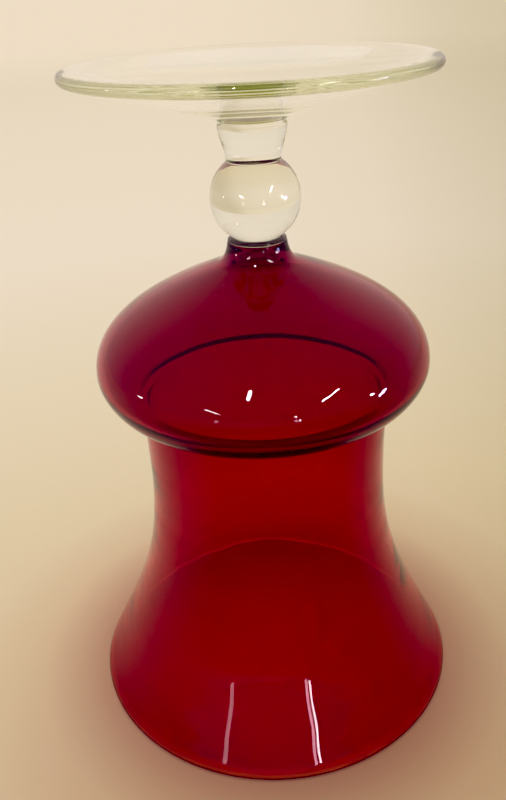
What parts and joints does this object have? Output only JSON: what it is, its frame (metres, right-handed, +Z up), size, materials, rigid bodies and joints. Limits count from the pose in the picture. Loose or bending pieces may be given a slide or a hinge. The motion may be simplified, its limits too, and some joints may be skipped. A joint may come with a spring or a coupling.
{
  "type": "bell-shaped glass vessel",
  "caption": "Bell-shaped ruby glass vessel standing on its flared mouth, with a clear ball-knop stem and a wide clear glass foot on top.",
  "frame": {"origin": "centre of the mouth, on the surface that the vessel stands on", "axes": "+Z up along the axis of revolution, from the mouth to the foot; X and Y are arbitrary, because the vessel is round"},
  "size_m": [0.1218, 0.1218, 0.1999],
  "materials": {
    "ruby_glass": "transparent deep red blown glass, fire-polished, glossy",
    "clear_glass": "clear blown glass with a faint yellow-green tint, fire-polished, glossy"
  },
  "bodies": {
    "root": {"ruby_bowl": "ruby_glass", "clear_collar": "clear_glass", "ball_knop": "clear_glass", "stem_spool": "clear_glass", "foot": "clear_glass"}
  },
  "joints": []
}
